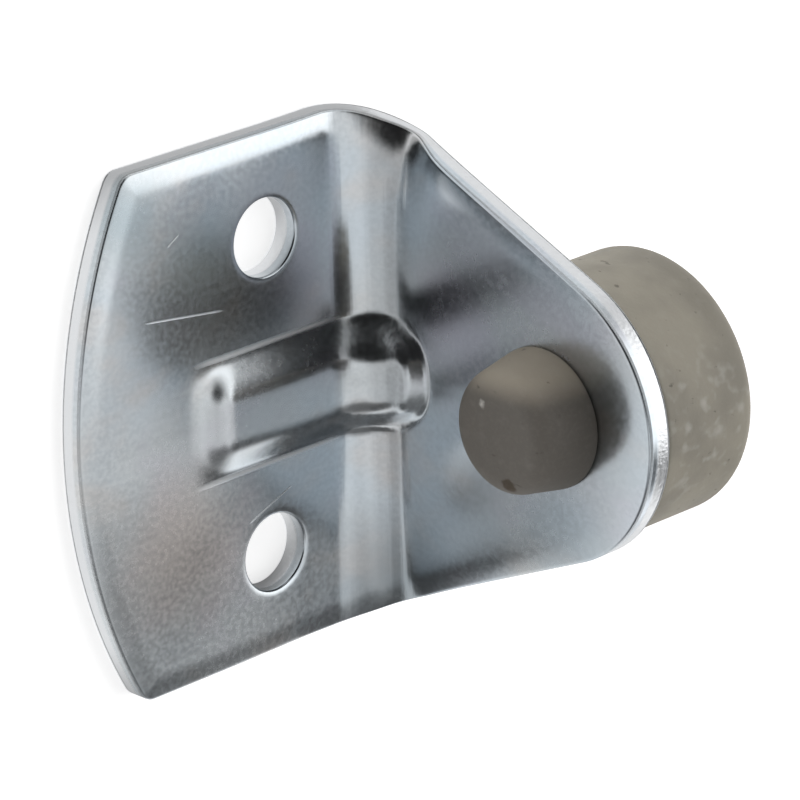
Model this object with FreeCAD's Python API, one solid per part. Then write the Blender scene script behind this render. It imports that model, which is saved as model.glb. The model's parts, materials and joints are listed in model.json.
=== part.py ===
import FreeCAD, Part
import math
import os

# Floor door stop: a pressed and bent steel angle with a push-in rubber buffer.
# Row frame: +Z up, +X towards the door, +Y across. The underside of the base is Z = 0.
# The origin is on the floor, midway between the two screw holes. All sizes are in mm.

os.makedirs("parts", exist_ok=True)

V = FreeCAD.Vector

# Bracket sizes.
sheet = 2.1                 # steel sheet thickness
bend_radius = 4.3           # inside radius of the 90 degree bend
half_width = 20.0           # the base is 40 wide
door_face_x = 12.4          # outer face of the upright, which the buffer seats on
rear_x = -18.2              # rearmost point of the base's curved rear edge
rear_corner_x = -13.0       # where the rear edge meets the straight sides
rear_corner_round = 0.9     # small rounding of the two rear corners
nose_z = 18.7               # centre of the upright's round top
nose_radius = 11.3          # radius of the round top, so the bracket is 30 high
shoulder_start_z = 2.1      # the straight sides end here, level with the base's upper face
shoulder_round = 2.0        # rounding where the sides turn into the taper

# Pressed edges: the inner side of the sheet has a rolled edge, the outer side a crisp one.
roll_edge = 0.6             # die roll on the outline, inner side
burr_edge = 0.15            # broken edge on the outline, outer side

# Screw holes for 5 mm countersunk or pan-head screws.
screw_hole_radius = 2.95
screw_hole_pitch = 24.4     # across the base, along Y
screw_hole_roll = 0.35      # rolled rim on the upper side

# Hole for the rubber buffer.
buffer_z = 19.8             # height of the buffer's axis
buffer_hole_radius = 4.3

# Stiffening rib pressed across the bend: raised inside, hollow outside.
rib_width = 9.3             # from crease to crease
rib_offset = -0.35          # the rib sits a little off the centre line
rib_crest_width = 2.9       # level top of the rib
rib_height = 2.05           # how far the crest stands in from the bend, along its bisector
rib_base_reach = 18.4       # from the inner corner line, along the base
rib_ramp_length = 4.8       # sloping start on the base
rib_ramp_share = 0.84       # share of the full height reached by that slope
rib_upright_reach = 6.1     # from the inner corner line, up the upright
rib_end_length = 3.1        # steep end on the upright
rib_end_round = 2.4         # how much lower that end sits along the two flanks
dent_width = 6.6            # hollow on the outside
dent_depth = 1.6
cover = 0.25                # how far the rib body sinks into the sheet at its rim

# Rubber buffer sizes.
head_radius = 10.0
head_thickness = 9.5
head_front_round = 1.2
head_back_round = 0.4
collar_radius = 5.3         # retaining stub, wider than the hole
collar_length = 5.0         # how far the stub stands out on the inner side
stub_end_radius = 4.75      # the stub tapers to this
stub_end_round = 1.5

# Values that follow from the sizes above.
inner_x = door_face_x - sheet
outer_bend = bend_radius + sheet
bend_x = inner_x - bend_radius
bend_z = sheet + bend_radius
half_arc = bend_radius * math.pi / 4.0
sagitta = rear_corner_x - rear_x
rear_radius = (half_width ** 2 + sagitta ** 2) / (2.0 * sagitta)


def sheet_point(s, depth):
    """Point (x, z) on the bent sheet: s runs along the inner face from the middle of the
    bend, negative on the base; depth is 0 on the inner face and the sheet on the outer."""
    if s < -half_arc:
        return (bend_x + (s + half_arc), sheet - depth)
    if s > half_arc:
        return (inner_x + depth, bend_z + (s - half_arc))
    turn = (s + half_arc) / bend_radius
    reach = bend_radius + depth
    return (bend_x + reach * math.sin(turn), bend_z - reach * math.cos(turn))


def ease(value, low, high):
    """Straight rise from 0 to 1 with its two corners eased over the shares low and high."""
    value = max(0.0, min(1.0, value))
    slope = 1.0 / (1.0 - low / 2.0 - high / 2.0)
    if value < low:
        return slope * value * value / (2.0 * low)
    if value > 1.0 - high:
        return 1.0 - slope * (1.0 - value) ** 2 / (2.0 * high)
    return slope * (value - low / 2.0)


def base_plate():
    """Flat base: straight sides and a curved rear edge with two small corner roundings."""
    start = V(rear_corner_x, half_width, 0)
    end = V(rear_corner_x, -half_width, 0)
    edges = [
        Part.Arc(start, V(rear_x, 0, 0), end).toShape(),
        Part.makeLine(end, V(bend_x, -half_width, 0)),
        Part.makeLine(V(bend_x, -half_width, 0), V(bend_x, half_width, 0)),
        Part.makeLine(V(bend_x, half_width, 0), start),
    ]
    plate = Part.Face(Part.Wire(edges)).extrude(V(0, 0, sheet))
    corners = []
    for edge in plate.Edges:
        mid = edge.CenterOfMass
        if abs(mid.x - rear_corner_x) < 0.01 and abs(mid.z - sheet / 2.0) < 0.01:
            corners.append(edge)
    return plate.makeFillet(rear_corner_round, corners)


def bend_and_upright():
    """Quarter-round bend and the upright above it, wider than needed, to be trimmed."""
    top = nose_z + nose_radius + 2.0
    diag = math.sqrt(0.5)
    outer_mid = V(bend_x + outer_bend * diag, 0, bend_z - outer_bend * diag)
    inner_mid = V(bend_x + bend_radius * diag, 0, bend_z - bend_radius * diag)
    edges = [
        Part.Arc(V(bend_x, 0, 0), outer_mid, V(door_face_x, 0, bend_z)).toShape(),
        Part.makeLine(V(door_face_x, 0, bend_z), V(door_face_x, 0, top)),
        Part.makeLine(V(door_face_x, 0, top), V(inner_x, 0, top)),
        Part.makeLine(V(inner_x, 0, top), V(inner_x, 0, bend_z)),
        Part.Arc(V(inner_x, 0, bend_z), inner_mid, V(bend_x, 0, sheet)).toShape(),
        Part.makeLine(V(bend_x, 0, sheet), V(bend_x, 0, 0)),
    ]
    face = Part.Face(Part.Wire(edges))
    face.translate(V(0, -half_width - 4.0, 0))
    return face.extrude(V(0, 2.0 * half_width + 8.0, 0))


def upright_outline():
    """Prism of the upright seen from the door: full width below, tapered to a round top."""
    shoulder_z = shoulder_start_z
    for _ in range(20):
        distance = math.hypot(half_width, nose_z - shoulder_z)
        to_centre = math.atan2(nose_z - shoulder_z, -half_width)
        slope = to_centre - math.asin(nose_radius / distance)
        turn = slope - math.pi / 2.0
        trim = shoulder_round * math.tan(turn / 2.0)
        shoulder_z = shoulder_start_z + trim
    run = math.sqrt(distance ** 2 - nose_radius ** 2)
    touch_y = half_width + run * math.cos(slope)
    touch_z = shoulder_z + run * math.sin(slope)
    high_y = half_width + trim * math.cos(slope)
    high_z = shoulder_z + trim * math.sin(slope)
    mid_y = half_width - shoulder_round + shoulder_round * math.cos(turn / 2.0)
    mid_z = shoulder_start_z + shoulder_round * math.sin(turn / 2.0)
    floor_z = -5.0
    top_z = nose_z + nose_radius

    def at(y, z):
        return V(bend_x - 1.0, y, z)

    edges = [
        Part.makeLine(at(half_width, floor_z), at(half_width, shoulder_start_z)),
        Part.Arc(at(half_width, shoulder_start_z), at(mid_y, mid_z), at(high_y, high_z)).toShape(),
        Part.makeLine(at(high_y, high_z), at(touch_y, touch_z)),
        Part.Arc(at(touch_y, touch_z), at(0, top_z), at(-touch_y, touch_z)).toShape(),
        Part.makeLine(at(-touch_y, touch_z), at(-high_y, high_z)),
        Part.Arc(at(-high_y, high_z), at(-mid_y, mid_z),
                 at(-half_width, shoulder_start_z)).toShape(),
        Part.makeLine(at(-half_width, shoulder_start_z), at(-half_width, floor_z)),
        Part.makeLine(at(-half_width, floor_z), at(half_width, floor_z)),
    ]
    return Part.Face(Part.Wire(edges)).extrude(V(40, 0, 0))


def bent_sheet():
    """The whole angle with its outline, before edges, rib and holes."""
    upright = bend_and_upright().common(upright_outline())
    return base_plate().fuse(upright).removeSplitter()


def rib_rise(s, side, reach_back, reach_up):
    """Share of the rib's full height at s; side is 0 on the crest line and 1 at the crease."""
    back = -half_arc - (reach_back - bend_radius)
    knee = back + rib_ramp_length
    along = rib_ramp_share * ease((s - back) / rib_ramp_length, 0.5, 0.2)
    along += (1.0 - rib_ramp_share) * ease((s - knee) / -knee, 0.2, 0.5)
    up = half_arc + (reach_up - bend_radius) - rib_end_round * side ** 2.5
    return along * ease((up - s) / rib_end_length, 0.06, 0.2)


def rib_body(width, crest, height, reach_back, reach_up, depth, sink):
    """Solid between the raised rib surface and a surface on the far side of the sheet face."""
    diag = math.sqrt(0.5)
    back = -half_arc - (reach_back - bend_radius)
    up = half_arc + (reach_up - bend_radius)
    count = 28
    stations = [back - 0.6 + (up + 0.5 - back + 0.6) * i / count for i in range(count + 1)]
    rows = 7
    offsets = [width / 2.0 * (1.0 - i / rows) for i in range(rows)]
    offsets = offsets + [0.0] + [-y for y in reversed(offsets)]
    wires = []
    for y in offsets:
        flank = (width / 2.0 - abs(y)) / ((width - crest) / 2.0)
        share = ease(flank, 0.12, 0.3)
        side = abs(y) / (width / 2.0)
        upper = []
        lower = []
        for s in stations:
            x, z = sheet_point(s, depth)
            rise = (height + cover) * rib_rise(s, side, reach_back, reach_up) * share - cover
            upper.append(V(x - rise * diag, y + rib_offset, z + rise * diag))
            lower.append(V(x + sink * diag, y + rib_offset, z - sink * diag))
        top = Part.BSplineCurve()
        top.interpolate(upper)
        low = Part.BSplineCurve()
        low.interpolate(lower)
        wires.append(Part.Wire([
            top.toShape(),
            Part.makeLine(upper[-1], lower[-1]),
            low.toShape(),
            Part.makeLine(lower[0], upper[0]),
        ]))
    return Part.makeLoft(wires, True, False)


def outline_edges(shape, depth_wanted):
    """Edges of the outline that lie on one side of the sheet: depth 0 inner, sheet outer."""
    found = []
    for edge in shape.Edges:
        first = edge.FirstParameter
        last = edge.LastParameter
        hits = True
        for part in (0.2, 0.5, 0.8):
            point = edge.valueAt(first + (last - first) * part)
            hits = hits and abs(face_depth(point) - depth_wanted) < 0.02
        straight = edge.Curve.TypeId == "Part::GeomLine"
        across = straight and abs(edge.Curve.Direction.y) > 0.99
        if hits and not across:
            found.append(edge)
    return found


def face_depth(point):
    """Depth of a point below the inner face of the bent sheet."""
    if point.x <= bend_x:
        return sheet - point.z
    if point.z >= bend_z:
        return point.x - inner_x
    return math.hypot(point.x - bend_x, point.z - bend_z) - bend_radius


def make_bracket():
    body = bent_sheet()
    body = body.makeFillet(roll_edge, outline_edges(body, 0.0))
    body = body.makeFillet(burr_edge, outline_edges(body, sheet))
    rib = rib_body(rib_width, rib_crest_width, rib_height, rib_base_reach, rib_upright_reach,
                   0.0, sheet * 0.6)
    body = body.fuse(rib)
    dent = rib_body(dent_width, rib_crest_width * 0.5, dent_depth, rib_base_reach - 1.0,
                    rib_upright_reach + sheet - 0.6, sheet, sheet)
    body = body.cut(dent)
    for side in (-1, 1):
        y = side * screw_hole_pitch / 2.0
        body = body.cut(Part.makeCylinder(screw_hole_radius, sheet + 2, V(0, y, -1)))
        roll = Part.makeCone(screw_hole_radius, screw_hole_radius + screw_hole_roll * 2,
                             screw_hole_roll * 2, V(0, y, sheet - screw_hole_roll))
        body = body.cut(roll)
    along = V(1, 0, 0)
    start = V(inner_x - 1, 0, buffer_z)
    body = body.cut(Part.makeCylinder(buffer_hole_radius, sheet + 2, start, along))
    return body.removeSplitter()


def make_buffer():
    """One moulded piece: head, neck through the sheet, and a tapered retaining stub."""
    front = door_face_x + head_thickness
    end = inner_x - collar_length
    neck = buffer_hole_radius
    profile = [
        (end, 0.0),
        (end, stub_end_radius),
        (inner_x, collar_radius),
        (inner_x, neck),
        (door_face_x, neck),
        (door_face_x, head_radius),
        (front, head_radius),
        (front, 0.0),
    ]
    points = [V(x, 0, buffer_z + r) for x, r in profile]
    wire = Part.makePolygon(points + [points[0]])
    solid = Part.Face(wire).revolve(V(0, 0, buffer_z), V(1, 0, 0), 360)
    rounds = [
        (end, stub_end_radius, stub_end_round),
        (front, head_radius, head_front_round),
        (door_face_x, head_radius, head_back_round),
    ]
    for x, radius, size in rounds:
        picked = []
        for edge in solid.Edges:
            circle = edge.Curve.TypeId == "Part::GeomCircle"
            if circle and abs(edge.Curve.Center.x - x) < 0.01 and abs(edge.Curve.Radius - radius) < 0.01:
                picked.append(edge)
        solid = solid.makeFillet(size, picked)
    return solid


nodes = {
    "bracket": make_bracket(),
    "rubber_buffer": make_buffer(),
}

for name in nodes:
    shape = nodes[name]
    if shape.ShapeType == "Compound" and len(shape.Solids) == 1:
        shape = shape.Solids[0]
    box = shape.BoundBox
    print(name, shape.ShapeType, len(shape.Solids), shape.isValid(), round(shape.Volume, 1),
          [round(v, 2) for v in (box.XMin, box.YMin, box.ZMin, box.XMax, box.YMax, box.ZMax)])
    shape.exportStep("parts/" + name + ".step")
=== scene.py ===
import json
import math

import bpy
from mathutils import Matrix, Vector, kdtree
from mathutils.geometry import delaunay_2d_cdt


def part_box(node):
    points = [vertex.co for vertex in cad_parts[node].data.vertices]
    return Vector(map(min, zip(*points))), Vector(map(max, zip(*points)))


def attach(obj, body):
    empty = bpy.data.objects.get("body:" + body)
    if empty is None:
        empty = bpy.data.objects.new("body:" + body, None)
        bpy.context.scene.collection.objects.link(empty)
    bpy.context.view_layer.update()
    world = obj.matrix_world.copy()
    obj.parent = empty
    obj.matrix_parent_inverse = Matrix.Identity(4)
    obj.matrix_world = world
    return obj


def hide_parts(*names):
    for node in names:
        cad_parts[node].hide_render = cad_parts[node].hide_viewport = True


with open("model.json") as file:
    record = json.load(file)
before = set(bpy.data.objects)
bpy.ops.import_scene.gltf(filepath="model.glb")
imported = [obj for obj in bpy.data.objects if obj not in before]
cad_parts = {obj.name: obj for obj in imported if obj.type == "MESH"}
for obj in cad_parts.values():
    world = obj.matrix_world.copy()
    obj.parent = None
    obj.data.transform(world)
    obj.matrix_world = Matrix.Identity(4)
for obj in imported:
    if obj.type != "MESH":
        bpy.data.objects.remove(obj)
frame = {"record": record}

# Floor door stop: a pressed, bent and zinc-plated steel angle with a push-in rubber buffer.
# Scene units are metres; the dictionaries give sizes in millimetres.

mm = 0.001
bracketLow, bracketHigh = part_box("bracket")
bufferLow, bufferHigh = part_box("rubber_buffer")
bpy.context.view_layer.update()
mounts = {mount["name"]: mount for mount in frame["record"]["mounts"]}
screwDims = mounts["screw_holes"]["dims"]


def srgb(code):
    # hex colour, as a colour picker shows it, to the linear values that shaders use
    values = [int(code[i:i + 2], 16) / 255.0 for i in (1, 3, 5)]
    linear = [v / 12.92 if v <= 0.04045 else ((v + 0.055) / 1.055) ** 2.4 for v in values]
    return (*linear, 1.0)


def addNode(tree, kind, inputs=None, **settings):
    # each input is a plain value, a hex colour or another node's output
    node = tree.nodes.new(kind)
    for name, value in settings.items():
        setattr(node, name, value)
    for socket, value in (inputs or {}).items():
        if isinstance(value, bpy.types.NodeSocket):
            tree.links.new(value, node.inputs[socket])
        elif isinstance(value, str):
            node.inputs[socket].default_value = srgb(value)
        else:
            node.inputs[socket].default_value = value
    return node


def smoothStep(value):
    value = max(0.0, min(1.0, value))
    return value * value * (3.0 - 2.0 * value)


def meshObject(name, points, faces, material):
    mesh = bpy.data.meshes.new(name)
    mesh.from_pydata(points, [], faces)
    mesh.validate()
    mesh.materials.append(material)
    mesh.shade_smooth()
    piece = bpy.data.objects.new(name, mesh)
    bpy.context.scene.collection.objects.link(piece)
    return piece


def resample(line, step):
    # even spacing along a polyline, its two ends kept
    reach = [0.0]
    for a, b in zip(line, line[1:]):
        reach.append(reach[-1] + math.dist(a, b))
    count = max(2, round(reach[-1] / step))
    result = []
    k = 0
    for i in range(count + 1):
        want = reach[-1] * i / count
        while k < len(line) - 2 and reach[k + 1] < want:
            k += 1
        share = (want - reach[k]) / max(reach[k + 1] - reach[k], 1e-9)
        share = min(1.0, share)
        result.append(tuple(p + (q - p) * share for p, q in zip(line[k], line[k + 1])))
    return result


def roundCorner(before, corner, after, trim):
    # swaps a sharp corner between two straight or gently curved runs for a smooth turn
    start = Vector(corner) + (Vector(before) - Vector(corner)).normalized() * trim
    end = Vector(corner) + (Vector(after) - Vector(corner)).normalized() * trim
    steps = 12
    turn = []
    for i in range(steps + 1):
        t = i / steps
        point = start * (1 - t) ** 2 + Vector(corner) * 2 * t * (1 - t) + end * t ** 2
        turn.append(tuple(point))
    return turn


bracketSpec = {
    "sheet": 2.1,              # thickness
    "bendRadius": 4.3,         # inside radius
    "rearCornerX": -13.0,      # where the curved rear edge meets the straight sides
    "rearCornerTrim": 0.8,
    "noseRadius": 11.3,        # round top of the upright
    "shoulderZ": 1.5,          # height where side line and taper line cross
    "shoulderTrim": 2.2,
    "rollWidth": 1.7,          # die roll round the outline, inner side
    "rollDepth": 0.34,
    "noseRollDepth": 0.16,     # shallower round the top of the upright
    "noseRollStart": 12.0,     # from the middle of the bend, and over the same length again
    "cornerRound": 0.14,       # the crisp corner where the die roll meets the cut edge
    "burr": 0.12,              # crisp edge round the outline, outer side
    "bulge": 0.18,             # sheet squeezed out sideways at the inside of the bend
    "bulgeReach": 1.2,
    "bulgeSpread": 1.3,        # in half lengths of the bend
    "curl": 0.85,              # inner face falls away at the +Y end of the bend
    "curlReach": 2.5,
    "curlMiddle": 3.0,         # from the middle of the bend, up the upright
    "curlLength": 1.9,
    "sag": 0.3,                # wider, gentler fall at the -Y end
    "sagReach": 6.0,
    "sagLength": 11.0,
    "holeRollWidth": 0.45,
    "holeRollDepth": 0.22,
    "bufferHoleRadius": 4.3,
    "ribWidth": 9.3,
    "ribOffset": -0.35,        # the rib sits a little off the centre line
    "ribCrest": 2.9,
    "ribHeight": 2.05,
    "ribBaseReach": 18.4,      # from the inner corner line, along the base
    "ribRampLength": 4.8,      # sloping start on the base
    "ribRampShare": 0.84,      # share of the full height reached by that slope
    "ribUprightReach": 6.1,
    "ribEndLength": 3.1,
    "ribEndRound": 2.4,        # how much lower the rib's end sits along its flanks
    "rampEase": (0.6, 0.39),   # how softly each slope starts and ends, in shares of its length
    "runEase": (0.2, 0.5),
    "endEase": (0.2, 0.3),
    "flankEase": (0.16, 0.4),
    "dentWidth": 6.6,          # hollow on the outer side, under the rib
    "dentDepth": 1.6,
    "dentCrestShare": 0.5,
    "dentBaseShort": 1.0,      # how much sooner than the rib it ends
    "dentUprightShort": 0.6,
    "gridStep": 0.36,
    "edgeStep": 0.3,
    "holeStep": 0.24,
    "rings": [0.015, 0.05, 0.1, 0.15, 0.3, 0.5, 0.75, 1.02, 1.34, 1.68],  # rows along the cut edge
    "holeRings": 0.6,          # the rows stop here round the holes
    "edgeRows": [0.15, 0.35, 0.55, 0.75, 0.92],    # rows across the cut edge, in shares of the sheet
}

spec = bracketSpec
sheet = spec["sheet"]
bendRadius = spec["bendRadius"]
halfWidth = bracketHigh.y / mm
rearX = bracketLow.x / mm
innerX = bracketHigh.x / mm - sheet
noseZ = bracketHigh.z / mm - spec["noseRadius"]
bufferZ = (bufferLow.z + bufferHigh.z) / 2 / mm
bendX = innerX - bendRadius
bendZ = sheet + bendRadius
halfArc = bendRadius * math.pi / 4
diag = math.sqrt(0.5)


def sheetPoint(s, depth):
    # s runs along the inner face from the middle of the bend, negative on the base
    if s < -halfArc:
        return (bendX + s + halfArc, sheet - depth)
    if s > halfArc:
        return (innerX + depth, bendZ + s - halfArc)
    turn = (s + halfArc) / bendRadius
    reach = bendRadius + depth
    return (bendX + reach * math.sin(turn), bendZ - reach * math.cos(turn))


def baseS(x):
    return x - bendX - halfArc


def uprightS(z):
    return z - bendZ + halfArc


def halfOutline():
    # flat blank from the middle of the rear edge, round one side, to the top of the nose
    sagitta = spec["rearCornerX"] - rearX
    rearRadius = (halfWidth ** 2 + sagitta ** 2) / (2 * sagitta)
    sweep = math.asin(halfWidth / rearRadius)
    centreS = baseS(rearX) + rearRadius
    rear = []
    for i in range(41):
        angle = sweep * i / 40
        rear.append((centreS - rearRadius * math.cos(angle), rearRadius * math.sin(angle)))
    shoulder = (uprightS(spec["shoulderZ"]), halfWidth)
    rise = noseZ - spec["shoulderZ"]
    distance = math.hypot(halfWidth, rise)
    slope = math.atan2(rise, -halfWidth) - math.asin(spec["noseRadius"] / distance)
    run = math.sqrt(distance ** 2 - spec["noseRadius"] ** 2)
    touch = (shoulder[0] + run * math.sin(slope), halfWidth + run * math.cos(slope))
    noseS = uprightS(noseZ)
    startAngle = math.atan2(touch[1], touch[0] - noseS)
    nose = []
    for i in range(41):
        angle = startAngle * (1 - i / 40)
        nose.append((noseS + spec["noseRadius"] * math.cos(angle),
                     spec["noseRadius"] * math.sin(angle)))
    corner = rear[-1]
    line = rear[:-2]
    line += roundCorner(rear[-2], corner, shoulder, spec["rearCornerTrim"])
    line += roundCorner(corner, shoulder, touch, spec["shoulderTrim"])
    line += nose
    return resample(line, spec["edgeStep"])


def blankOutline():
    half = halfOutline()
    other = [(s, -y) for s, y in reversed(half[1:-1])]
    return half + other


def ease(value, low, high):
    # straight rise from 0 to 1 with its two corners eased over the shares low and high
    value = max(0.0, min(1.0, value))
    slope = 1 / (1 - low / 2 - high / 2)
    if value < low:
        return slope * value * value / (2 * low)
    if value > 1 - high:
        return 1 - slope * (1 - value) ** 2 / (2 * high)
    return slope * (value - low / 2)


def ribAlong(s, side, baseReach, uprightReach):
    # share of the rib's full height: a ramp and a long level run on the base, a steep end above
    back = -halfArc - (baseReach - bendRadius)
    knee = back + spec["ribRampLength"]
    rampShare = spec["ribRampShare"]
    along = rampShare * ease((s - back) / spec["ribRampLength"], *spec["rampEase"])
    along += (1 - rampShare) * ease((s - knee) / -knee, *spec["runEase"])
    up = halfArc + (uprightReach - bendRadius) - spec["ribEndRound"] * side ** 2.5
    return along * ease((up - s) / spec["ribEndLength"], *spec["endEase"])


def ribAcross(y, width, crest):
    flank = (width / 2 - abs(y)) / ((width - crest) / 2)
    return ease(flank, *spec["flankEase"])


def rollDepth(distance, width, depth):
    # drop of the face towards its edge: a shallow curve, then a small quarter round
    corner = min(spec["cornerRound"], depth)
    drop = 0.0
    if distance < width:
        drop = (depth - corner) * (1 - distance / width) ** 1.7
    if distance < corner:
        drop += corner - math.sqrt(max(0.0, corner ** 2 - (corner - distance) ** 2))
    return drop


holes = [                      # two for screws and one for the buffer, placed on the flat blank
    {"s": baseS(0.0), "y": -screwDims["spacing_y_mm"] / 2, "radius": screwDims["hole_r_mm"]},
    {"s": baseS(0.0), "y": screwDims["spacing_y_mm"] / 2, "radius": screwDims["hole_r_mm"]},
    {"s": uprightS(bufferZ), "y": 0.0, "radius": spec["bufferHoleRadius"]},
]


def bracketPoint(s, y, share, edgeGap, holeGap):
    # share is 0 on the inner face and 1 on the outer face
    towardsNose = smoothStep((s - spec["noseRollStart"]) / spec["noseRollStart"])
    roll = spec["rollDepth"] + (spec["noseRollDepth"] - spec["rollDepth"]) * towardsNose
    inner = max(rollDepth(edgeGap, spec["rollWidth"], roll),
                rollDepth(holeGap, spec["holeRollWidth"], spec["holeRollDepth"]))
    if y < 0:
        along = math.exp(-(s / spec["sagLength"]) ** 2)
        inner += spec["sag"] * along * math.exp(-edgeGap / spec["sagReach"])
    else:
        along = math.exp(-((s - spec["curlMiddle"]) / spec["curlLength"]) ** 2)
        inner += spec["curl"] * along * math.exp(-edgeGap / spec["curlReach"])
    outer = sheet - rollDepth(min(edgeGap, holeGap), spec["burr"], spec["burr"])
    x, z = sheetPoint(s, inner + (outer - inner) * share)

    off = y - spec["ribOffset"]
    side = min(1.0, abs(off) / (spec["ribWidth"] / 2))
    innerRise = spec["ribHeight"] * ribAcross(off, spec["ribWidth"], spec["ribCrest"])
    innerRise *= ribAlong(s, side, spec["ribBaseReach"], spec["ribUprightReach"])
    side = min(1.0, abs(off) / (spec["dentWidth"] / 2))
    outerRise = spec["dentDepth"] * ribAcross(off, spec["dentWidth"],
                                              spec["ribCrest"] * spec["dentCrestShare"])
    outerRise *= ribAlong(s, side, spec["ribBaseReach"] - spec["dentBaseShort"],
                          spec["ribUprightReach"] + sheet - spec["dentUprightShort"])
    rise = innerRise + (outerRise - innerRise) * share

    squeeze = math.exp(-(s / (spec["bulgeSpread"] * halfArc)) ** 2)
    squeeze *= spec["bulge"] * math.exp(-edgeGap / spec["bulgeReach"]) * (1 - 2 * share)
    if abs(y) > 1:
        y += math.copysign(squeeze, y)
    return Vector((x - rise * diag, y, z + rise * diag)) * mm


def outlineReach(outline, s):
    # half width of the blank at s
    best = 0.0
    for (s0, y0), (s1, y1) in zip(outline, outline[1:]):
        if y0 >= 0 and y1 >= 0 and min(s0, s1) <= s <= max(s0, s1):
            share = (s - s0) / (s1 - s0) if s1 != s0 else 0.0
            best = max(best, y0 + (y1 - y0) * share)
    return best


def bracketLoops():
    # the blank's outline, then the rims of its three holes
    loops = [blankOutline()]
    for hole in holes:
        count = round(2 * math.pi * hole["radius"] / spec["holeStep"])
        turns = [2 * math.pi * i / count for i in range(count)]
        loops.append([(hole["s"] + hole["radius"] * math.cos(turn),
                       hole["y"] + hole["radius"] * math.sin(turn)) for turn in turns])
    return loops


def ringPoints(loops, gaps):
    # rows that follow the cut edges, where the face curves most
    points = []
    for k, loop in enumerate(loops):
        for i, corner in enumerate(loop):
            corner = Vector(corner)
            if k == 0:
                along = Vector(loop[(i + 1) % len(loop)]) - Vector(loop[i - 1])
                side = Vector((along.y, -along.x)).normalized()
                if side.dot(corner) > 0:
                    side = -side
            else:
                side = (corner - Vector((holes[k - 1]["s"], holes[k - 1]["y"]))).normalized()
            for gap in spec["rings"]:
                if k > 0 and gap > spec["holeRings"]:
                    break
                s, y = corner + side * gap
                if min(gaps(s, y)) > gap * 0.9:
                    points.append((s, y))
    return points


def gridPoints(outline, gaps):
    # even triangles over the rest of the blank
    step = spec["gridStep"]
    low = min(s for s, y in outline)
    high = max(s for s, y in outline)
    rows = int(halfWidth / step) + 1
    points = []
    for j in range(-rows, rows + 1):
        y = j * step
        s = low + (step / 2 if j % 2 else 0.0)
        while s < high:
            edgeGap, holeGap = gaps(s, y)
            clear = edgeGap > spec["rings"][-1] + step / 2 and holeGap > spec["holeRings"] + 0.1
            if clear and abs(y) < outlineReach(outline, s):
                points.append((s, y))
            s += step
    return points


def buildBracket(material):
    loops = bracketLoops()
    outline = loops[0]
    dense = resample(outline + [outline[0]], 0.06)
    edgeTree = kdtree.KDTree(len(dense))
    for i, (s, y) in enumerate(dense):
        edgeTree.insert((s, y, 0), i)
    edgeTree.balance()

    def gaps(s, y):
        # distances to the outline and to the nearest hole rim
        hole = min(math.hypot(s - h["s"], y - h["y"]) - h["radius"] for h in holes)
        return edgeTree.find((s, y, 0))[2], hole

    # triangles over the flat blank
    points = []
    edges = []
    for loop in loops:
        first = len(points)
        points += loop
        edges += [(first + i, first + (i + 1) % len(loop)) for i in range(len(loop))]
    boundary = len(points)
    points += ringPoints(loops, gaps) + gridPoints(outline, gaps)
    flat = [Vector(point) for point in points]
    verts, _, triangles, origins, _, _ = delaunay_2d_cdt(flat, edges, [], 1, 1e-6)
    kept = []
    for face in triangles:
        centre = sum((verts[i] for i in face), Vector((0, 0))) / 3
        if gaps(centre.x, centre.y)[1] > 0:
            kept.append(tuple(face))
    where = {}
    for i, source in enumerate(origins):
        for k in source:
            where[k] = i
    onEdge = {where[i] for i in range(boundary)}

    # both faces of the folded sheet
    info = []
    for i, vert in enumerate(verts):
        edgeGap, holeGap = gaps(vert.x, vert.y)
        if i in onEdge and holeGap < edgeGap:
            holeGap = 0.0
        elif i in onEdge:
            edgeGap = 0.0
        info.append((vert.x, vert.y, edgeGap, holeGap))
    count = len(verts)
    coords = []
    for share in (0.0, 1.0):
        coords += [bracketPoint(s, y, share, edgeGap, holeGap) for s, y, edgeGap, holeGap in info]
    faces = kept + [tuple(i + count for i in reversed(face)) for face in kept]

    # cut edges between them
    first = 0
    for k, loop in enumerate(loops):
        size = len(loop)
        rows = [[where[first + i] for i in range(size)]]
        for share in spec["edgeRows"]:
            rows.append(list(range(len(coords), len(coords) + size)))
            for i in rows[0]:
                s, y, edgeGap, holeGap = info[i]
                coords.append(bracketPoint(s, y, share, edgeGap, holeGap))
        rows.append([i + count for i in rows[0]])
        for a, b in zip(rows, rows[1:]):
            for i in range(size):
                j = (i + 1) % size
                faces.append((a[i], b[i], b[j], a[j]) if k == 0 else (a[i], a[j], b[j], b[i]))
        first += size
    piece = meshObject("bracket_pressed_sheet", coords, faces, material)

    # values for the material: place across the cut edge, and how near the bend is
    rim = [0.0] * (2 * count)
    for i in onEdge:
        rim[i + count] = 1.0
    for loop in loops:
        for share in spec["edgeRows"]:
            rim += [share] * len(loop)
    bend = [math.exp(-(s / (1.25 * halfArc)) ** 4) for s, y, edgeGap, holeGap in info] * 2
    bend += [0.0] * (len(coords) - 2 * count)
    for name, values in (("rim", rim), ("bend", bend)):
        store = piece.data.attributes.new(name, "FLOAT", "POINT")
        store.data.foreach_set("value", values)
    return piece


bufferSpec = {
    "collarRadius": 5.3,       # stub where it meets the sheet
    "collarRound": 0.25,
    "stubEndRadius": 4.75,
    "stubEndRound": 1.7,
    "headFrontRound": 1.3,
    "headBackRound": 0.5,
    "segments": 160,
}


def arcRun(centreX, centreR, radius, start, end, steps):
    run = []
    for i in range(steps + 1):
        angle = math.radians(start + (end - start) * i / steps)
        run.append((centreX + radius * math.cos(angle), centreR + radius * math.sin(angle)))
    return run


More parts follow.
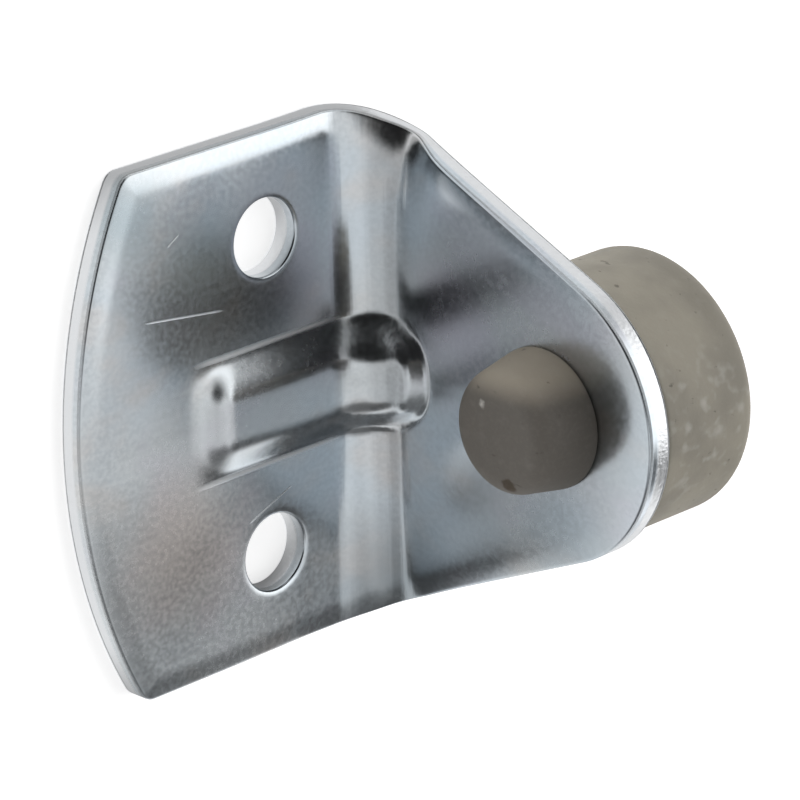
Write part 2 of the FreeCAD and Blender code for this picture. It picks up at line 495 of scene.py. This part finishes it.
def buildBuffer(material):
    part = bufferSpec
    endX = bufferLow.x / mm
    frontX = bufferHigh.x / mm
    headRadius = (bufferHigh.z - bufferLow.z) / 2 / mm
    outerX = innerX + sheet
    neck = spec["bufferHoleRadius"]
    stubRound = part["stubEndRound"]
    collarRound = part["collarRound"]
    backRound = part["headBackRound"]
    frontRound = part["headFrontRound"]

    # half section from the middle of the stub's end to the middle of the head's face
    profile = [(endX, 0.0), (endX, part["stubEndRadius"] * 0.4)]
    profile += arcRun(endX + stubRound, part["stubEndRadius"] - stubRound, stubRound, 180, 98, 10)
    profile += [(innerX - 0.5, part["collarRadius"] - 0.03)]
    profile += arcRun(innerX - collarRound, part["collarRadius"] - collarRound, collarRound, 90, 0, 5)
    profile += [(innerX, neck + 0.2), (innerX + 0.3, neck), (outerX, neck)]
    profile += arcRun(outerX + backRound, headRadius - backRound, backRound, 180, 90, 7)
    profile += arcRun(frontX - frontRound, headRadius - frontRound, frontRound, 90, 0, 9)
    profile += [(frontX, headRadius * 0.5), (frontX, 0.0)]
    dense = [profile[0]]
    for a, b in zip(profile, profile[1:]):
        dense += resample([a, b], 0.6)[1:] if math.dist(a, b) > 0.9 else [b]

    segments = part["segments"]
    points = []
    for x, radius in dense[1:-1]:
        for k in range(segments):
            turn = 2 * math.pi * k / segments
            points.append(Vector((x, radius * math.cos(turn), bufferZ + radius * math.sin(turn))) * mm)
    stubMiddle = len(points)
    points.append(Vector((endX, 0, bufferZ)) * mm)
    headMiddle = len(points)
    points.append(Vector((frontX, 0, bufferZ)) * mm)
    faces = []
    last = len(dense) - 3
    for k in range(segments):
        j = (k + 1) % segments
        for i in range(last):
            low = i * segments
            faces.append((low + k, low + j, low + segments + j, low + segments + k))
        faces.append((stubMiddle, j, k))
        faces.append((headMiddle, last * segments + k, last * segments + j))
    return meshObject("buffer_moulded_rubber", points, faces, material)


def newMaterial(name):
    material = bpy.data.materials.new(name)
    material.use_nodes = True
    material.node_tree.nodes.clear()
    return material, material.node_tree


def millimetres(tree):
    # object coordinates counted in millimetres
    place = addNode(tree, "ShaderNodeTexCoord").outputs["Object"]
    return addNode(tree, "ShaderNodeVectorMath", {0: place, "Scale": 1000.0},
                   operation="SCALE").outputs[0]


steelSpec = {
    "colour": "#cbd0d3",
    "blue": "#c4cdd4",
    "warm": "#d2cac4",
    "violet": "#cac8d3",
    "cloud": "#8a9093",
    "fracture": "#dcdee0",     # torn part of the cut edge
    # colour of the scratches and of the painted highlight along the rib's creases
    "scratchAndHighlight": "#f2f3f4",
    "roughness": (0.2, 0.25),
    "patterns": {              # size of each in mm along x, y and z, then its detail
        "patches": ((13.0, 13.0, 13.0), 2.0),      # tint patches of the passivation
        "drift": ((7.65, 5.88, 9.56), 3.0),
        "mottle": ((0.42, 0.42, 0.42), 1.5),       # zinc crystals, drawn coarser so that they show
        "grain": ((0.11, 0.11, 0.11), 2.0),
        "wave": ((9.0, 9.0, 9.0), 1.0),            # slow waviness of pressed sheet
        "dieLines": ((0.417, 16.7, 0.417), 2.0),
        "tears": ((0.333, 0.333, 0.333), 3.0),
    },
    "heights": {               # in mm
        "grain": 0.0005,
        "mottle": 0.0008,
        "wave": 0.055,
        "dieLines": 0.012,
        "tears": 0.05,
        "crown": -0.5,         # the base falls away very slightly towards its -Y side
        "scratchesAndCreaseHighlight": -0.02,
    },
    # width of the painted highlight along each of the rib's creases
    "creaseWidth": 0.3,
    "tintsAndPaintedShade": [                 # x, y and z, then radius, all in mm, of the strongest tint patches; the last three are painted shade
        ((-9.4, -9.5, 2.1), 9.0, "#d1c7c1"),
        ((10.3, 5.5, 11.0), 6.0, "#c9c6d0"),
        ((10.3, -9.0, 22.0), 7.0, "#b9c6cf"),
        ((-6.0, 13.0, 2.1), 7.0, "#b5c4cc"),
        # painted shade: these three patches are darker only where the sheet lies in shade
        ((-12.5, 17.0, 2.1), 6.0, "#a6b4bb"),
        ((1.9, 6.8, 2.1), 6.5, "#a0a6aa"),
        ((9.0, -16.5, 4.5), 8.0, "#8b9398"),
    ],
    "scratches": [             # start and end on the base, then width, all in mm
        ((-12.1, 8.9), (-4.1, 7.8), 0.11),
        ((-9.4, 13.9), (-8.3, 14.6), 0.06),
        ((-2.6, -9.2), (1.9, -7.4), 0.07),
    ],
}


def zincPlatedSteel():
    # cold-rolled steel with bright zinc and a clear blue passivation: a soft, faintly blue,
    # slightly cloudy mirror that shows tint patches, zinc grain and die lines, with painted shade in
    # three patches and a painted highlight along the rib's creases
    look = steelSpec
    material, tree = newMaterial("zinc-plated steel")
    place = millimetres(tree)
    x, y, z = addNode(tree, "ShaderNodeSeparateXYZ", {0: place}).outputs
    rim = addNode(tree, "ShaderNodeAttribute", attribute_name="rim").outputs["Fac"]
    bend = addNode(tree, "ShaderNodeAttribute", attribute_name="bend").outputs["Fac"]
    part = {}
    for name, (size, detail) in look["patterns"].items():
        scaled = addNode(tree, "ShaderNodeVectorMath", {0: place, 1: size}, operation="DIVIDE")
        part[name] = addNode(tree, "ShaderNodeTexNoise",
                             {"Vector": scaled.outputs[0], "Scale": 1.0, "Detail": detail}).outputs[0]

    # distance to the nearer of the rib's two creases
    crease = y
    for operation, number in (("SUBTRACT", spec["ribOffset"]), ("ABSOLUTE", 0.0),
                              ("SUBTRACT", spec["ribWidth"] / 2), ("ABSOLUTE", 0.0)):
        crease = addNode(tree, "ShaderNodeMath", {0: crease, 1: number},
                         operation=operation).outputs[0]

    steps = {                  # source, where it starts and ends, its value before and after
        "torn": (rim, 0.3, 0.5, 0.0, 1.0),
        "blue": (part["patches"], 0.38, 0.66, 0.0, 1.0),
        "warm": (part["drift"], 0.5, 0.74, 0.0, 0.5),
        "violet": (part["drift"], 0.48, 0.28, 0.0, 0.4),
        "cloud": (part["mottle"], 0.3, 0.7, 0.15, 0.0),
        "gloss": (part["mottle"], 0.2, 0.8, *look["roughness"]),
        "glossDrift": (part["patches"], 0.35, 0.65, 0.04, -0.03),
        "crown": (y, -22.0, -2.0, 1.0, 0.0),
        "onBase": (x, 2.0, 8.0, 1.0, 0.0),
        # painted highlight along the rib's creases, between creaseStart and creaseEnd
        "creaseHighlight": (crease, 0.0, look["creaseWidth"], 1.0, 0.0),
        "creaseStart": (x, -8.0, -5.5, 0.0, 1.0),
        "creaseEnd": (x, 4.5, 7.5, 1.0, 0.0),
        "lowDown": (z, 2.6, 3.0, 1.0, 0.0),
        "upperFace": (z, 1.0, 1.6, 0.0, 1.0),
    }
    for name, (source, start, end, before, after) in steps.items():
        part[name] = addNode(tree, "ShaderNodeMapRange",
                             {"Value": source, "From Min": start, "From Max": end,
                              "To Min": before, "To Max": after},
                             interpolation_type="SMOOTHSTEP").outputs[0]
    for name, other in (("dieLines", bend), ("tears", part["torn"]), ("crown", part["onBase"]),
                        ("creaseHighlight", part["creaseStart"]), ("creaseHighlight", part["creaseEnd"])):
        part[name] = addNode(tree, "ShaderNodeMath", {0: part[name], 1: other},
                             operation="MULTIPLY").outputs[0]

    # a painted highlight along the rib's creases, and real scratches: bright, rough lines on the upper
    # face only
    scratchesAndCreaseHighlight = part["creaseHighlight"]
    for start, end, width in look["scratches"]:
        middle = (Vector(start) + Vector(end)) / 2
        along = (Vector(end) - Vector(start)).normalized()
        half = math.dist(start, end) / 2
        moved = addNode(tree, "ShaderNodeVectorMath", {0: place, 1: (middle.x, middle.y, 0)},
                        operation="SUBTRACT").outputs[0]
        scratch = part["lowDown"]
        for axis, inner, outer in (((along.x, along.y, 0), half * 0.7, half),
                                   ((-along.y, along.x, 0), 0.0, width)):
            reach = addNode(tree, "ShaderNodeVectorMath", {0: moved, 1: axis},
                            operation="DOT_PRODUCT").outputs["Value"]
            reach = addNode(tree, "ShaderNodeMath", {0: reach}, operation="ABSOLUTE").outputs[0]
            fade = addNode(tree, "ShaderNodeMapRange",
                           {"Value": reach, "From Min": inner, "From Max": outer,
                            "To Min": 1.0, "To Max": 0.0}, interpolation_type="SMOOTHSTEP")
            scratch = addNode(tree, "ShaderNodeMath", {0: scratch, 1: fade.outputs[0]},
                              operation="MULTIPLY").outputs[0]
        scratchesAndCreaseHighlight = addNode(tree, "ShaderNodeMath", {0: scratchesAndCreaseHighlight, 1: scratch},
                        operation="MAXIMUM").outputs[0]
    part["scratchesAndCreaseHighlight"] = addNode(tree, "ShaderNodeMath", {0: scratchesAndCreaseHighlight, 1: part["upperFace"]},
                            operation="MULTIPLY").outputs[0]
    part["brightScratchesAndCreaseHighlight"] = addNode(tree, "ShaderNodeMath", {0: part["scratchesAndCreaseHighlight"], 1: 0.6},
                                  operation="MULTIPLY").outputs[0]

    # tint of the passivation in slow patches and in listed patches, some of them painted shade, then
    # the clouds of zinc and what lies on them
    colour = look["colour"]
    for name in ("blue", "warm", "violet"):
        colour = addNode(tree, "ShaderNodeMix", {0: part[name], 6: colour, 7: look[name]},
                         data_type="RGBA").outputs[2]
    for middle, radius, tint in look["tintsAndPaintedShade"]:
        reach = addNode(tree, "ShaderNodeVectorMath", {0: place, 1: middle},
                        operation="DISTANCE").outputs["Value"]
        reach = addNode(tree, "ShaderNodeMath", {0: part["drift"], 1: radius * 0.6, 2: reach},
                        operation="MULTIPLY_ADD").outputs[0]
        share = addNode(tree, "ShaderNodeMapRange",
                        {"Value": reach, "From Min": radius * 0.4, "From Max": radius * 1.2,
                         "To Min": 0.75, "To Max": 0.0}, interpolation_type="SMOOTHSTEP")
        colour = addNode(tree, "ShaderNodeMix", {0: share.outputs[0], 6: colour, 7: tint},
                         data_type="RGBA").outputs[2]
    for name, tint in (("cloud", "cloud"), ("torn", "fracture"), ("brightScratchesAndCreaseHighlight", "scratchAndHighlight")):
        colour = addNode(tree, "ShaderNodeMix", {0: part[name], 6: colour, 7: look[tint]},
                         data_type="RGBA").outputs[2]

    rough = part["gloss"]
    for share, weight in ((part["glossDrift"], 1.0), (part["torn"], 0.1), (bend, -0.03),
                          (part["scratchesAndCreaseHighlight"], 0.4)):
        rough = addNode(tree, "ShaderNodeMath", {0: share, 1: weight, 2: rough},
                        operation="MULTIPLY_ADD").outputs[0]
    height = 0.0
    for name, rise in look["heights"].items():
        height = addNode(tree, "ShaderNodeMath", {0: part[name], 1: rise, 2: height},
                         operation="MULTIPLY_ADD").outputs[0]
    bump = addNode(tree, "ShaderNodeBump", {"Strength": 1.0, "Distance": mm, "Height": height})
    shader = addNode(tree, "ShaderNodeBsdfPrincipled",
                     {"Metallic": 1.0, "Base Color": colour, "Roughness": rough,
                      "Normal": bump.outputs[0]})
    addNode(tree, "ShaderNodeOutputMaterial", {0: shader.outputs[0]})
    return material


rubberSpec = {
    "head": "#a29c8e",
    "shade": "#8f8a7e",
    "stub": "#6d6861",         # painted shade: the same rubber as the head, darker where it lies in shade between the plates
    # painted highlight: the stub's top, lighter where it faces the light
    "stubTopHighlight": "#a89f90",
    "bloom": "#c9c6bf",        # pale filler at the surface
    "speck": "#4b463d",
    "roughness": (0.62, 0.8),
    "patterns": {              # size of each in mm along x, y and z, then its detail
        "clouds": ((6.0, 6.0, 6.0), 3.0),
        "grain": ((0.3, 0.3, 0.3), 3.0),           # drawn coarser than filler grit, so that it shows
        "flecks": ((1.053, 1.053, 1.053), 1.5),
        "pits": ((0.909, 0.606, 1.299), 4.0),
    },
    "heights": {"grain": 0.012, "clouds": 0.12, "pitted": -0.05},    # in mm
    "bloomMiddle": (16.5, 0.0, 29.5),    # palest part of the head, mm
    "spots": [                 # middle and radius in mm, share of it that is solid, colour
        ((5.3, 2.1, 18.4), 0.42, 0.1, "#c9c6bf"),      # pale fleck on the stub
        ((5.5, -3.6, 20.8), 0.75, 0.6, "#4b4032"),     # nick in the stub's rim
    ],
}


def mouldedRubber():
    # filled grey rubber, compression moulded: matt and faintly uneven, with pale bloom on the head,
    # painted shade on the stub and a painted highlight along its top
    look = rubberSpec
    material, tree = newMaterial("moulded grey rubber")
    place = millimetres(tree)
    x, y, _ = addNode(tree, "ShaderNodeSeparateXYZ", {0: place}).outputs
    part = {}
    for name, (size, detail) in look["patterns"].items():
        scaled = addNode(tree, "ShaderNodeVectorMath", {0: place, 1: size}, operation="DIVIDE")
        part[name] = addNode(tree, "ShaderNodeTexNoise",
                             {"Vector": scaled.outputs[0], "Scale": 1.0, "Detail": detail}).outputs[0]
    fromBloom = addNode(tree, "ShaderNodeVectorMath", {0: place, 1: look["bloomMiddle"]},
                        operation="DISTANCE").outputs["Value"]
    steps = {                  # source, where it starts and ends, its value before and after
        "shade": (part["clouds"], 0.35, 0.65, 0.0, 1.0),
        # painted highlight towards the stub's top
        "stubTopHighlight": (y, 2.4, 4.4, 0.0, 1.0),
        # the stub, which takes the painted shade
        "stub": (x, innerX - 0.1, innerX + 0.3, 1.0, 0.0),
        "dust": (part["grain"], 0.4, 0.7, 0.0, 0.05),
        "flecks": (part["flecks"], 0.5, 0.8, 0.0, 1.0),
        "bloom": (fromBloom, 2.0, 7.5, 0.55, 0.05),
        "pitted": (part["pits"], 0.66, 0.76, 0.0, 0.55),
        "rough": (part["grain"], 0.3, 0.7, *look["roughness"]),
    }
    for name, (source, start, end, before, after) in steps.items():
        part[name] = addNode(tree, "ShaderNodeMapRange",
                             {"Value": source, "From Min": start, "From Max": end,
                              "To Min": before, "To Max": after},
                             interpolation_type="SMOOTHSTEP").outputs[0]
    part["bloom"] = addNode(tree, "ShaderNodeMath", {0: part["flecks"], 1: part["bloom"]},
                            operation="MULTIPLY").outputs[0]

    # painted shade over the stub, with a painted highlight towards its top
    stub = addNode(tree, "ShaderNodeMix", {0: part["stubTopHighlight"], 6: look["stub"], 7: look["stubTopHighlight"]},
                   data_type="RGBA").outputs[2]
    colour = look["head"]
    for name, tint in (("shade", look["shade"]), ("stub", stub), ("dust", look["bloom"]),
                       ("bloom", look["bloom"]), ("pitted", look["speck"])):
        colour = addNode(tree, "ShaderNodeMix", {0: part[name], 6: colour, 7: tint},
                         data_type="RGBA").outputs[2]
    for middle, radius, solid, tint in look["spots"]:
        reach = addNode(tree, "ShaderNodeVectorMath", {0: place, 1: middle},
                        operation="DISTANCE").outputs["Value"]
        reach = addNode(tree, "ShaderNodeMath", {0: part["grain"], 1: 0.5, 2: reach},
                        operation="MULTIPLY_ADD").outputs[0]
        share = addNode(tree, "ShaderNodeMapRange",
                        {"Value": reach, "From Min": radius * solid + 0.25,
                         "From Max": radius + 0.25, "To Min": 1.0, "To Max": 0.0},
                        interpolation_type="SMOOTHSTEP")
        colour = addNode(tree, "ShaderNodeMix", {0: share.outputs[0], 6: colour, 7: tint},
                         data_type="RGBA").outputs[2]

    height = 0.0
    for name, rise in look["heights"].items():
        height = addNode(tree, "ShaderNodeMath", {0: part[name], 1: rise, 2: height},
                         operation="MULTIPLY_ADD").outputs[0]
    bump = addNode(tree, "ShaderNodeBump", {"Strength": 1.0, "Distance": mm, "Height": height})
    shader = addNode(tree, "ShaderNodeBsdfPrincipled",
                     {"IOR": 1.52, "Base Color": colour, "Roughness": part["rough"],
                      "Normal": bump.outputs[0]})
    addNode(tree, "ShaderNodeOutputMaterial", {0: shader.outputs[0]})
    return material


steel = zincPlatedSteel()
rubber = mouldedRubber()
print("materials made")

bracket = buildBracket(steel)
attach(bracket, "root")
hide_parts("bracket")
print("bracket built")

buffer = buildBuffer(rubber)
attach(buffer, "root")
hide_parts("rubber_buffer")
print("buffer built")


studioSpec = {
    "floorColour": "#f4f4f4",
    "floorRoughness": 0.9,
    "floorGlow": 0.6,
    "floorSize": 3.0,          # metres
    "tentBrightness": 0.74,
    "mirroredFloor": 1.03,
    "farMirroredFloor": 0.5,   # behind the stop, where the tent's shadow lies
    "sideMirroredFloor": 0.6,  # least brightness on the +Y side
    "contactShadow": 0.1,
    "shadowStart": 21.0,       # mm out from the middle on both sides
    "shadowSize": (14.5, 9.0),
    "aim": (12.7, -3.8, 2.4),
    "toCamera": (-0.6488, 0.3569, 0.6721),
    "pictureUp": (0.2665, 0.9338, -0.2386),
    "distance": 393.4,         # mm
    "lens": 238.3,
}


def floorMesh(name, height, material):
    size = studioSpec["floorSize"]
    cells = 12
    points = []
    for i in range(cells + 1):
        for j in range(cells + 1):
            points.append((size * (i / cells - 0.5), size * (j / cells - 0.5), height))
    faces = []
    for i in range(cells):
        for j in range(cells):
            a = i * (cells + 1) + j
            faces.append((a, a + cells + 1, a + cells + 2, a + 1))
    return meshObject(name, points, faces, material)


def buildFloor():
    # matt white paper
    material, tree = newMaterial("white paper floor")
    shader = addNode(tree, "ShaderNodeBsdfPrincipled",
                     {"Base Color": studioSpec["floorColour"],
                      "Roughness": studioSpec["floorRoughness"],
                      "Emission Color": "#ffffff", "Emission Strength": studioSpec["floorGlow"]})
    addNode(tree, "ShaderNodeOutputMaterial", {0: shader.outputs[0]})
    floor = floorMesh("studio_floor", -0.02 * mm, material)
    floor.visible_glossy = False


def buildMirroredFloor():
    # what the metal sees of the floor: bright, with a deep contact shadow along both sides
    look = studioSpec
    material, tree = newMaterial("floor as the metal mirrors it")
    x, y, _ = addNode(tree, "ShaderNodeSeparateXYZ", {0: millimetres(tree)}).outputs
    shadowLength, shadowWidth = look["shadowSize"]
    across = y
    for operation, number in (("ABSOLUTE", 0.0), ("SUBTRACT", look["shadowStart"]),
                              ("DIVIDE", shadowWidth)):
        across = addNode(tree, "ShaderNodeMath", {0: across, 1: number},
                         operation=operation).outputs[0]
    along = addNode(tree, "ShaderNodeMath", {0: x, 1: shadowLength}, operation="DIVIDE").outputs[0]
    reach = 0.0
    for axis in (across, along):
        reach = addNode(tree, "ShaderNodeMath", {0: axis, 1: axis, 2: reach},
                        operation="MULTIPLY_ADD").outputs[0]
    glow = 0.0
    for source, start, end, before, after, operation in (
            (reach, 0.1, 1.6, look["contactShadow"], look["mirroredFloor"], "ADD"),
            (y, 0.0, 12.0, 0.0, look["sideMirroredFloor"], "MAXIMUM"),
            (x, -70.0, -30.0, look["farMirroredFloor"], look["mirroredFloor"], "MINIMUM")):
        step = addNode(tree, "ShaderNodeMapRange",
                       {"Value": source, "From Min": start, "From Max": end,
                        "To Min": before, "To Max": after}, interpolation_type="SMOOTHSTEP")
        glow = addNode(tree, "ShaderNodeMath", {0: glow, 1: step.outputs[0]},
                       operation=operation).outputs[0]
    light = addNode(tree, "ShaderNodeEmission", {"Strength": glow})
    addNode(tree, "ShaderNodeOutputMaterial", {0: light.outputs[0]})
    floor = floorMesh("studio_floor_mirrored", -0.04 * mm, material)
    floor.visible_camera = False
    floor.visible_diffuse = False
    floor.visible_transmission = False
    floor.visible_shadow = False


studioPanels = [
    # in a white tent: azimuth from +X towards +Y, elevation, and where each fades, in degrees
    {"name": "sweep behind the stop", "azimuth": 10, "elevation": 40, "inner": 20, "outer": 40,
     "brightness": 1.85},
    {"name": "overhead silk", "azimuth": 240, "elevation": 68, "inner": 12, "outer": 40,
     "brightness": 1.0},
    {"name": "dark side flag", "azimuth": 312, "elevation": 36, "inner": 7, "outer": 22,
     "brightness": 0.1},
    {"name": "white card low at the side", "azimuth": 311, "elevation": 5, "inner": 5,
     "outer": 15, "brightness": 1.5},
    {"name": "low tent wall", "azimuth": 203, "elevation": 2, "inner": 6, "outer": 20,
     "brightness": 0.52},
    {"name": "dark side above it", "azimuth": 260, "elevation": 32, "inner": 16, "outer": 38,
     "brightness": 0.2},
    {"name": "low dark side", "azimuth": 238, "elevation": 4, "inner": 16, "outer": 34,
     "brightness": 0.14},
    {"name": "dark gap round the camera", "azimuth": 136, "elevation": 32, "inner": 34,
     "outer": 54, "brightness": 0.02},
]


def buildLight():
    world = bpy.data.worlds.new("studio tent")
    bpy.context.scene.world = world
    world.use_nodes = True
    tree = world.node_tree
    tree.nodes.clear()
    towards = addNode(tree, "ShaderNodeTexCoord").outputs["Generated"]
    colour = (*[studioSpec["tentBrightness"]] * 3, 1)
    for panel in studioPanels:
        azimuth = math.radians(panel["azimuth"])
        elevation = math.radians(panel["elevation"])
        middle = (math.cos(azimuth) * math.cos(elevation),
                  math.sin(azimuth) * math.cos(elevation), math.sin(elevation))
        facing = addNode(tree, "ShaderNodeVectorMath", {0: towards, 1: middle},
                         operation="DOT_PRODUCT").outputs["Value"]
        share = addNode(tree, "ShaderNodeMapRange",
                        {"Value": facing, "From Min": math.cos(math.radians(panel["outer"])),
                         "From Max": math.cos(math.radians(panel["inner"]))},
                        interpolation_type="SMOOTHSTEP")
        colour = addNode(tree, "ShaderNodeMix",
                         {0: share.outputs[0], 6: colour, 7: (*[panel["brightness"]] * 3, 1)},
                         data_type="RGBA").outputs[2]
    light = addNode(tree, "ShaderNodeBackground", {"Color": colour, "Strength": 1.0})
    addNode(tree, "ShaderNodeOutputWorld", {0: light.outputs[0]})


def buildCamera():
    back = Vector(studioSpec["toCamera"]).normalized()
    right = Vector(studioSpec["pictureUp"]).cross(back).normalized()
    up = back.cross(right)
    camera = bpy.data.cameras.new("camera")
    camera.lens = studioSpec["lens"]
    camera.sensor_width = 36.0
    camera.clip_start = 0.01
    camera.clip_end = 20.0
    holder = bpy.data.objects.new("camera", camera)
    bpy.context.scene.collection.objects.link(holder)
    turn = Matrix((right, up, back)).transposed()
    holder.rotation_mode = "QUATERNION"
    holder.rotation_quaternion = turn.to_quaternion()
    holder.location = (Vector(studioSpec["aim"]) + back * studioSpec["distance"]) * mm
    bpy.context.scene.camera = holder


buildFloor()
buildMirroredFloor()
buildLight()
buildCamera()
bpy.context.scene.view_settings.view_transform = "Standard"
print("studio built")
